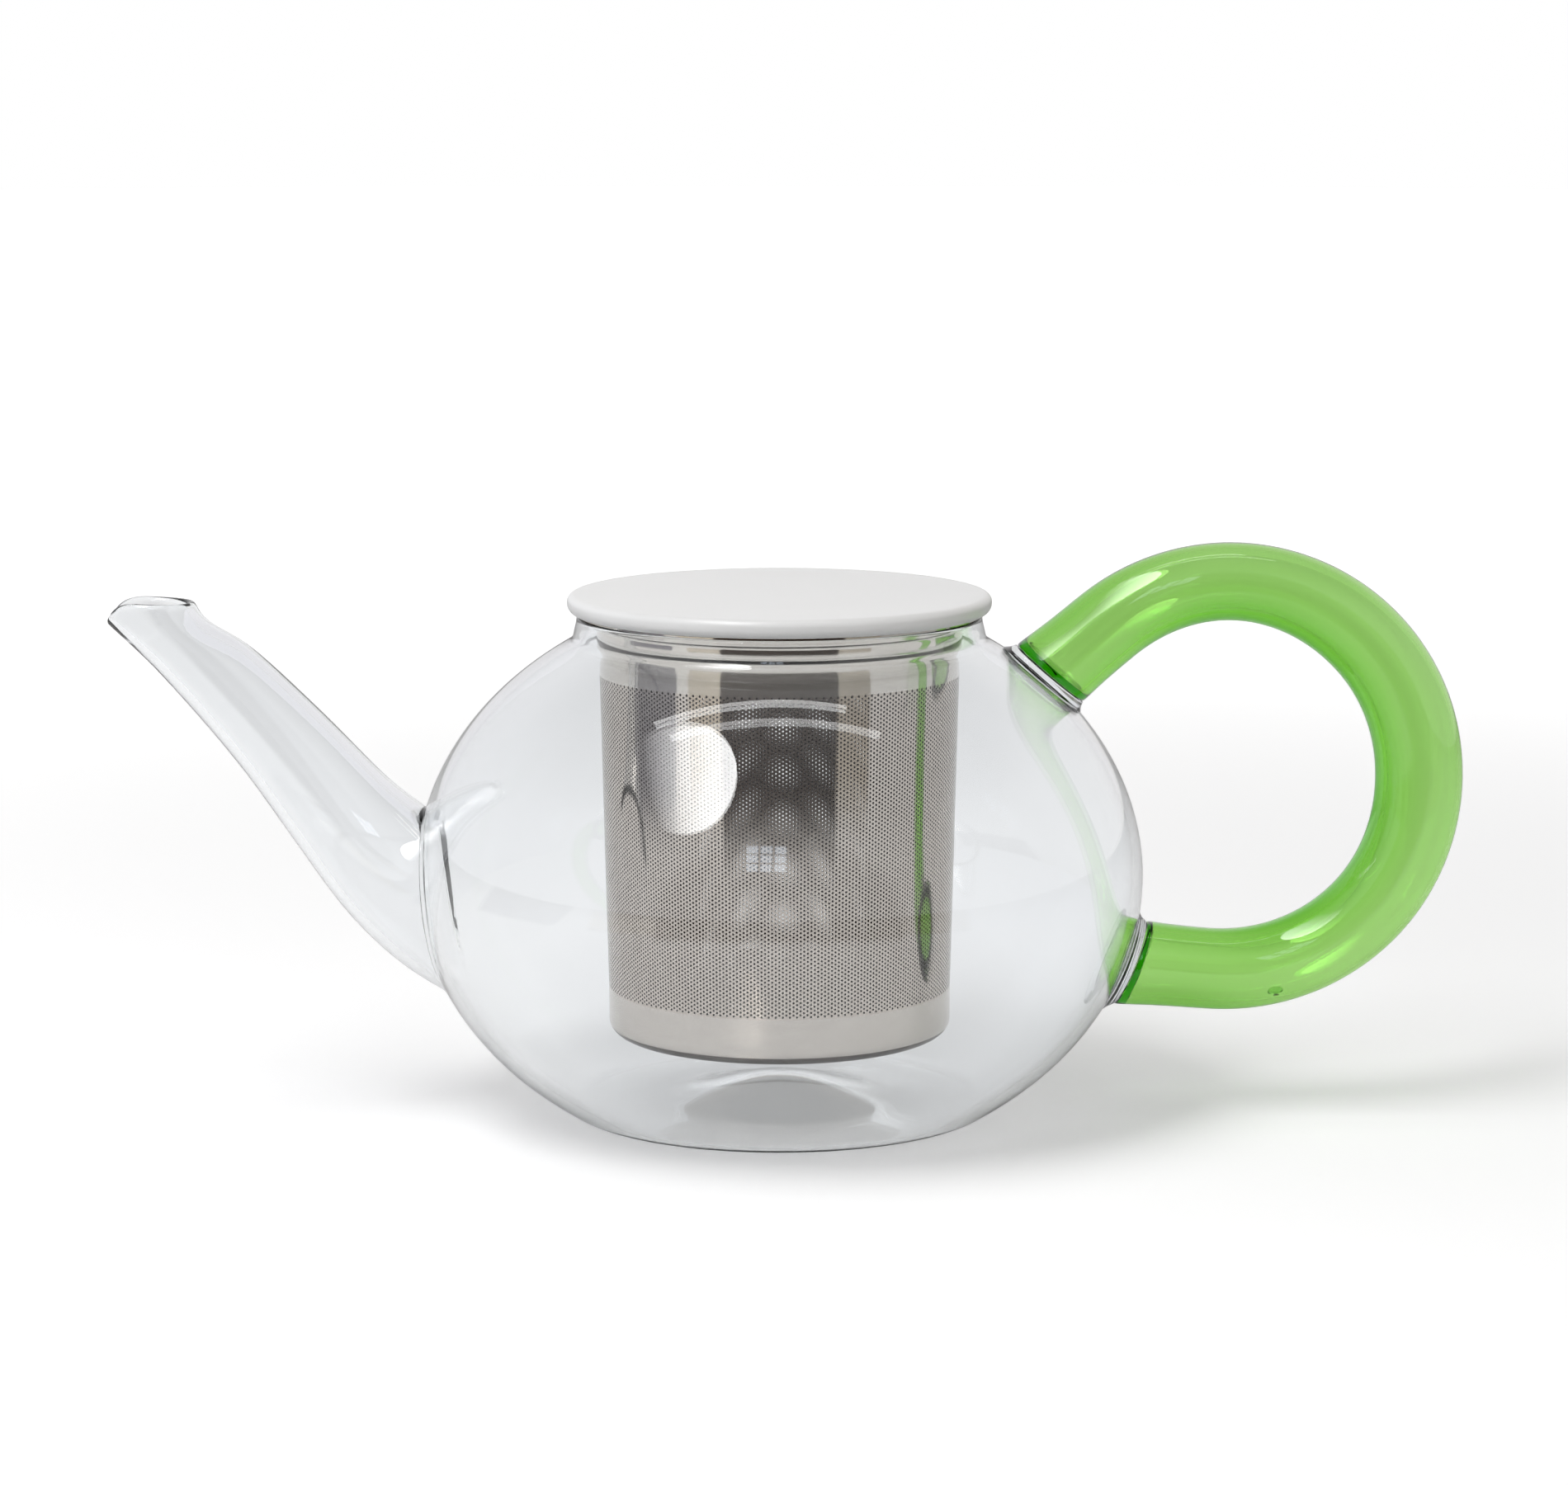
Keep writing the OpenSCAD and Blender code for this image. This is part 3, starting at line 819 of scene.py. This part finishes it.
def borosilicate(name, kind):
    own = glass[kind]
    material, tree = newMaterial(name)
    place = addNode(tree, "TexCoord").outputs["Object"]
    pattern = {"Scale": perMetre(own["wave"]), "Detail": 1.0, "Roughness": 0.4}
    waves = addNode(tree, "TexNoise", pattern, {"Vector": place})
    relief = {"Strength": own["strength"], "Distance": glass["waveHeight"] * mm}
    bump = addNode(tree, "Bump", relief, {"Height": waves.outputs["Fac"]})
    polished = {"Roughness": 0.0, "IOR": glass["ior"], "Transmission Weight": 1.0}
    shader = addNode(
        tree,
        "BsdfPrincipled",
        {"Base Color": hexColour(own["tint"]), **polished},
        {"Normal": bump.outputs["Normal"]},
    )
    depth = addNode(tree, "VolumeAbsorption", {"Color": own["depth"], "Density": own["density"]})
    addNode(tree, "OutputMaterial", None, {"Surface": shader.outputs[0], "Volume": depth.outputs[0]})
    return material


# stainless steel sheet, rolled and then spun or pressed: satin, with fine streaks along the way it
# was worked and a slow change of gloss. The real grain is under 0.1 mm wide, too fine to show, and
# is drawn as coarse as it needs to be seen.
steel = {
    "grain": 1.111,
    "grainStrength": 0.12,
    "grainDepth": 0.05,
    "cloud": 16.7,
    "glossChange": 0.3,  # share by which the roughness goes up and down
}


def satinSteel(name, tints, roughness, stretch):
    # a stretch below 1 along an axis draws the grain out along it
    material, tree = newMaterial(name)
    place = addNode(tree, "TexCoord").outputs["Object"]
    stretched = addNode(tree, "Mapping", {"Scale": stretch}, {"Vector": place}).outputs[0]
    grain = {"Scale": perMetre(steel["grain"]), "Detail": 3.0}
    streaks = addNode(tree, "TexNoise", grain, {"Vector": stretched}).outputs["Fac"]
    cloud = {"Scale": perMetre(steel["cloud"]), "Detail": 2.0}
    clouds = addNode(tree, "TexNoise", cloud, {"Vector": place}).outputs["Fac"]
    change = steel["glossChange"]
    gloss = {"To Min": roughness * (1 - change), "To Max": roughness * (1 + change)}
    rough = addNode(tree, "MapRange", gloss, {"Value": clouds})
    both = {"Color1": hexColour(tints[0]), "Color2": hexColour(tints[1])}
    shade = addNode(tree, "MixRGB", both, {"Fac": streaks})
    relief = {"Strength": steel["grainStrength"], "Distance": steel["grainDepth"] * mm}
    bump = addNode(tree, "Bump", relief, {"Height": streaks})
    shader = addNode(
        tree,
        "BsdfPrincipled",
        {"Metallic": 1.0},
        {"Base Color": shade.outputs[0], "Roughness": rough.outputs[0], "Normal": bump.outputs["Normal"]},
    )
    addNode(tree, "OutputMaterial", None, {"Surface": shader.outputs[0]})
    return material


# white glaze on stoneware: glossy, with a slight orange-peel surface and a faint cloudiness. Real
# dimples are about 1 mm wide and are drawn coarser, so that they show.
glaze = {
    "tints": ("#dededd", "#e3e3e2"),
    "roughness": 0.3,
    "peel": 4.55,
    "peelStrength": 0.08,
    "peelDepth": 0.1,
    "cloud": 33,
}


def whiteGlaze():
    material, tree = newMaterial("whiteGlazeStoneware")
    place = addNode(tree, "TexCoord").outputs["Object"]
    dimples = {"Scale": perMetre(glaze["peel"]), "Detail": 2.0}
    peel = addNode(tree, "TexNoise", dimples, {"Vector": place}).outputs["Fac"]
    cloud = {"Scale": perMetre(glaze["cloud"]), "Detail": 2.0}
    clouds = addNode(tree, "TexNoise", cloud, {"Vector": place}).outputs["Fac"]
    both = {"Color1": hexColour(glaze["tints"][0]), "Color2": hexColour(glaze["tints"][1])}
    shade = addNode(tree, "MixRGB", both, {"Fac": clouds})
    relief = {"Strength": glaze["peelStrength"], "Distance": glaze["peelDepth"] * mm}
    bump = addNode(tree, "Bump", relief, {"Height": peel})
    shader = addNode(
        tree,
        "BsdfPrincipled",
        {"Roughness": glaze["roughness"], "IOR": 1.5},
        {"Base Color": shade.outputs[0], "Normal": bump.outputs["Normal"]},
    )
    addNode(tree, "OutputMaterial", None, {"Surface": shader.outputs[0]})
    return material


clear = borosilicate("borosilicateGlassBlown", "clear")
wear(glassBody, clear)
wear(upperPad, clear)
wear(lowerPad, clear)
wear(handleTube, borosilicate("greenBorosilicateTube", "green"))
wallSteel = satinSteel("satinSteelPerforated", ("#bdb5ad", "#c9c2ba"), 0.09, (1, 1, 0.05))
collarSteel = satinSteel("satinSteelSpun", ("#c4bfb8", "#d8d4cd"), 0.07, (0.06, 0.06, 1))
# the inner skins of the wall and the base: rougher, and darker than the outside as painted shade
paintedShadeInsideSteel = satinSteel("dullSteelInsidePaintedShade", ("#5c5855", "#66625e"), 0.3, (1, 1, 1))
# the hole walls are near black: painted shade in the holes
paintedShadeHoleSteel = satinSteel("steelHoleWallsPaintedShade", ("#2c2a28", "#353230"), 0.4, (1, 1, 1))
# each band: the outside, the inside with painted shade, and the hole walls with painted shade
for band in wallBands:
    for slot, finish in enumerate((wallSteel, paintedShadeInsideSteel, paintedShadeHoleSteel)):
        band.data.materials[slot] = finish
wear(infuserCollar, collarSteel)
wear(infuserBase, satinSteel("satinSteelPressed", ("#c3bdb7", "#cbc6bf"), 0.18, (0.2, 0.2, 1)))
infuserBase.data.materials.append(paintedShadeInsideSteel)
# the base's inner skin is rougher, and darker as painted shade inside the basket
insideReach = infuser["lowRadius"] - infuser["sheet"] / 2
insideFloor = infuser["bottom"] + 0.6 * infuser["sheet"]
for face in infuserBase.data.polygons:
    x, y, z = face.center / mm
    face.material_index = 1 if math.hypot(x, y) < insideReach and z > insideFloor else 0
wear(lidDisc, whiteGlaze())
print("materials made")

# studio, in metres

lamps = {
    # soft boxes overhead that face the floor; the key is an oval one, brighter towards one side
    "key": {"place": (-0.5, -0.46, 0.9), "size": (0.6, 1.04), "radiance": 5.9, "turn": -19},
    "keyGradient": {"From Min": 0.25, "To Min": 0.04, "To Max": 2.3},
    "backStrip": {"place": (-0.12, 0.09, 1.0), "size": (0.7, 0.03), "radiance": 6.5, "turn": 0},
    "frontStrip": {"place": (-0.02, -0.05, 1.0), "size": (0.82, 0.03), "radiance": 5.0, "turn": 0},
}

window = {
    "place": (-0.1, -1.3, 0.75),
    "aim": (0, 0, 0.06),
    "pane": 0.085,
    "gap": 0.02,
    "columns": 3,
    "rows": 3,
    "daylight": "#dfe8f5",
    "radiance": 4.0,
}

paper = {
    "radius": 4.0,
    "drop": 0.0002,  # just below the standing ring
    "colour": "#e8e8e8",
    # glow by distance from the middle: what the camera sees turns white away from the pot
    "seen": {"From Min": 0.2, "From Max": 1.1, "To Min": 0.3, "To Max": 0.9},
    # through glass the paper is darker in itself and glows evenly, but less under the pot's middle: a
    # painted shadow under the pot
    "throughColour": "#aeaeaf",
    "throughGlowPaintedShadow": {"From Min": 0.02, "From Max": 0.045, "To Min": 0.34, "To Max": 0.57},
}

cards = {
    # sectors of paper on the floor: heading in degrees, where 0 is the front and the left is
    # negative, half angle, distance at which each begins, and height, one above the other
    "darkCard": {"heading": 0, "spread": 38, "near": 0.3, "colour": "#2a1b0f", "lift": 0.0012},
    "dimCard": {"heading": 0, "spread": 60, "near": 0.36, "colour": "#d6cfc2", "lift": 0.0006},
    "leftCard": {"heading": -83, "spread": 17, "near": 0.34, "colour": "#91919a", "lift": 0.0018},
}
# ends of every card along y, where its sides would meet, and the fade about where it begins
cardShape = {"far": -3.9, "close": -0.2, "apex": 0.03, "fade": (0.05, 0.07)}

room = {
    # reaches are along x, y or z of the direction of view, from -1 to 1; the front is at -y
    "leftWall": "#f0f1f6",
    "rightWall": "#f4f2ee",
    "wallReach": {"From Min": -0.8, "From Max": 0.8},
    "front": "#2e2219",
    "frontReach": {"From Min": -0.83, "From Max": -0.75, "To Min": 1, "To Max": 0},
    "ceiling": "#6c6a69",
    "ceilingReach": {"From Min": 0.42, "From Max": 0.82},
    "throughColour": (0.845, 0.836, 0.86, 1),  # linear, and the same all round
}


def addFloor():
    bpy.ops.object.select_all(action="DESELECT")
    bpy.ops.mesh.primitive_circle_add(vertices=96, radius=paper["radius"], fill_type="NGON")
    floor = bpy.context.object
    floor.name = "paleFloor"
    floor.location.z = -paper["drop"]
    material, tree = newMaterial("paleFloorPaper")
    lightPath = addNode(tree, "LightPath").outputs
    transmitted = lightPath["Is Transmission Ray"]
    place = addNode(tree, "TexCoord").outputs["Object"]
    distance = addNode(tree, "VectorMath", {"operation": "LENGTH"}, {0: place}).outputs["Value"]
    multiply = {"operation": "MULTIPLY"}
    seen = addNode(tree, "MapRange", {**softStep, **paper["seen"]}, {"Value": distance})
    seen = addNode(tree, "Math", multiply, {0: seen.outputs[0], 1: lightPath["Is Camera Ray"]})
    # seen through glass: the glow, lower under the pot's middle as a painted shadow
    through = addNode(tree, "MapRange", {**softStep, **paper["throughGlowPaintedShadow"]}, {"Value": distance})
    through = addNode(tree, "Math", multiply, {0: through.outputs[0], 1: transmitted})
    both = addNode(tree, "Math", {"operation": "ADD"}, {0: seen.outputs[0], 1: through.outputs[0]})
    colours = {"Color1": hexColour(paper["colour"]), "Color2": hexColour(paper["throughColour"])}
    shade = addNode(tree, "MixRGB", colours, {"Fac": transmitted})
    matte = addNode(tree, "BsdfDiffuse", None, {"Color": shade.outputs[0]})
    glow = addNode(tree, "Emission", {"Color": hexColour(white)}, {"Strength": both.outputs[0]})
    lifted = addNode(tree, "AddShader", None, {0: matte.outputs[0], 1: glow.outputs[0]})
    addNode(tree, "OutputMaterial", None, {"Surface": lifted.outputs[0]})
    floor.data.materials.append(material)


def addCard(name):
    # lies on the floor and shows in polished surfaces only; its near edge fades
    card = cards[name]
    bpy.ops.object.select_all(action="DESELECT")
    bpy.ops.mesh.primitive_plane_add(size=1, location=(0, 0, 0))
    sheet = bpy.context.object
    sheet.name = name
    sheet.location.z = card["lift"]
    sheet.rotation_euler.z = math.radians(card["heading"])
    wide = math.tan(math.radians(card["spread"]))
    far, close = cardShape["far"], cardShape["close"]
    for vert, (side, y) in zip(sheet.data.vertices, [(-1, far), (1, far), (-1, close), (1, close)]):
        vert.co = (side * -wide * (y + cardShape["apex"]), y, 0)
    for sight in ("camera", "diffuse", "shadow", "volume_scatter"):
        setattr(sheet, "visible_" + sight, False)
    material, tree = newMaterial(name + "Paper")
    lightPath = addNode(tree, "LightPath").outputs
    place = addNode(tree, "TexCoord").outputs["Object"]
    distance = addNode(tree, "VectorMath", {"operation": "LENGTH"}, {0: place}).outputs["Value"]
    before, after = cardShape["fade"]
    edge = {**softStep, "From Min": card["near"] - before, "From Max": card["near"] + after}
    solid = addNode(tree, "MapRange", edge, {"Value": distance})
    atLeastOne = {"operation": "GREATER_THAN", 1: 0.5}
    mirrored = addNode(tree, "Math", atLeastOne, {0: lightPath["Glossy Depth"]})
    links = {0: solid.outputs[0], 1: mirrored.outputs[0]}
    shown = addNode(tree, "Math", {"operation": "MULTIPLY"}, links)
    matte = addNode(tree, "BsdfDiffuse", {"Color": hexColour(card["colour"])})
    unseen = addNode(tree, "BsdfTransparent")
    links = {"Fac": shown.outputs[0], 1: unseen.outputs[0], 2: matte.outputs[0]}
    mixed = addNode(tree, "MixShader", None, links)
    addNode(tree, "OutputMaterial", None, {"Surface": mixed.outputs[0]})
    sheet.data.materials.append(material)


def addWorld():
    world = bpy.data.worlds.new("studioWorld")
    bpy.context.scene.world = world
    world.use_nodes = True
    tree = world.node_tree
    tree.nodes.clear()
    way = addNode(tree, "TexCoord").outputs["Generated"]
    axes = addNode(tree, "SeparateXYZ", None, {0: way}).outputs
    front = addNode(tree, "MapRange", {**softStep, **room["frontReach"]}, {"Value": axes["Y"]})
    above = addNode(tree, "MapRange", {**softStep, **room["ceilingReach"]}, {"Value": axes["Z"]})
    across = addNode(tree, "MapRange", room["wallReach"], {"Value": axes["X"]})
    colours = {"Color1": hexColour(room["leftWall"]), "Color2": hexColour(room["rightWall"])}
    walls = addNode(tree, "MixRGB", colours, {"Fac": across.outputs[0]})
    links = {"Fac": front.outputs[0], "Color1": walls.outputs[0]}
    dark = addNode(tree, "MixRGB", {"Color2": hexColour(room["front"])}, links)
    links = {"Fac": above.outputs[0], "Color1": dark.outputs[0]}
    ceiling = addNode(tree, "MixRGB", {"Color2": hexColour(room["ceiling"])}, links)
    # seen through the glass, or round inside one wall of it, the room is plain and pale
    lightPath = addNode(tree, "LightPath").outputs
    unmirrored = {"operation": "LESS_THAN", 1: 0.5}
    straight = addNode(tree, "Math", unmirrored, {0: lightPath["Glossy Depth"]})
    atMostTwo = {"operation": "LESS_THAN", 1: 2.5}
    oneWall = addNode(tree, "Math", atMostTwo, {0: lightPath["Transmission Depth"]})
    links = {0: straight.outputs[0], 1: oneWall.outputs[0]}
    either = addNode(tree, "Math", {"operation": "MAXIMUM"}, links)
    links = {0: lightPath["Is Transmission Ray"], 1: either.outputs[0]}
    through = addNode(tree, "Math", {"operation": "MULTIPLY"}, links)
    links = {"Fac": through.outputs[0], "Color1": ceiling.outputs[0]}
    behind = addNode(tree, "MixRGB", {"Color2": room["throughColour"]}, links)
    links = {"Fac": lightPath["Is Camera Ray"], "Color1": behind.outputs[0]}
    final = addNode(tree, "MixRGB", {"Color2": hexColour(white)}, links)
    background = addNode(tree, "Background", {"Strength": 1.0}, {"Color": final.outputs[0]})
    addNode(tree, "OutputWorld", None, {"Surface": background.outputs[0]})


def addLamp(name, shape):
    box = lamps[name]
    turn = math.radians(box["turn"])
    bpy.ops.object.light_add(type="AREA", location=box["place"], rotation=(0, 0, turn))
    lamp = bpy.context.object
    lamp.name = name + "Lamp"
    lamp.data.shape = shape
    lamp.data.size, lamp.data.size_y = box["size"]
    lamp.data.energy = box["radiance"] * box["size"][0] * box["size"][1] * math.pi
    if shape == "ELLIPSE":
        lamp.data.energy *= math.pi / 4
        lamp.data.use_nodes = True
        tree = lamp.data.node_tree
        tree.nodes.clear()
        spot = addNode(tree, "NewGeometry").outputs["Parametric"]
        across = addNode(tree, "SeparateXYZ", None, {0: spot}).outputs["X"]
        strength = addNode(tree, "MapRange", lamps["keyGradient"], {"Value": across})
        glow = addNode(tree, "Emission", None, {"Strength": strength.outputs[0]})
        addNode(tree, "OutputLight", None, {"Surface": glow.outputs[0]})


def addWindow():
    # a paned window across the room, seen as a small reflection in the bowl
    bpy.ops.object.select_all(action="DESELECT")
    bpy.ops.mesh.primitive_plane_add(size=window["pane"])
    panes = bpy.context.object
    panes.name = "roomWindow"
    step = window["pane"] + window["gap"]
    shift = {"use_relative_offset": False, "use_constant_offset": True}
    for count, way in ((window["columns"], (step, 0, 0)), (window["rows"], (0, step, 0))):
        applyModifier(panes, "ARRAY", count=count, constant_offset_displace=way, **shift)
    middle = Vector((window["columns"] - 1, window["rows"] - 1, 0)) * step / 2
    for vert in panes.data.vertices:
        vert.co -= middle
    panes.location = window["place"]
    aim = Vector(window["aim"]) - Vector(window["place"])
    panes.rotation_euler = aim.to_track_quat("Z", "Y").to_euler()
    material, tree = newMaterial("windowDaylight")
    daylight = {"Color": hexColour(window["daylight"]), "Strength": window["radiance"]}
    glow = addNode(tree, "Emission", daylight)
    addNode(tree, "OutputMaterial", None, {"Surface": glow.outputs[0]})
    panes.data.materials.append(material)


addFloor()
for card in cards:
    addCard(card)
addWorld()
addLamp("key", "ELLIPSE")
addLamp("backStrip", "RECTANGLE")
addLamp("frontStrip", "RECTANGLE")
addWindow()
scene = bpy.context.scene
scene.view_settings.view_transform = "Standard"
glassBounces = 24  # light crosses many walls of glass
scene.cycles.max_bounces = glassBounces
scene.cycles.transmission_bounces = glassBounces
print("studio set")
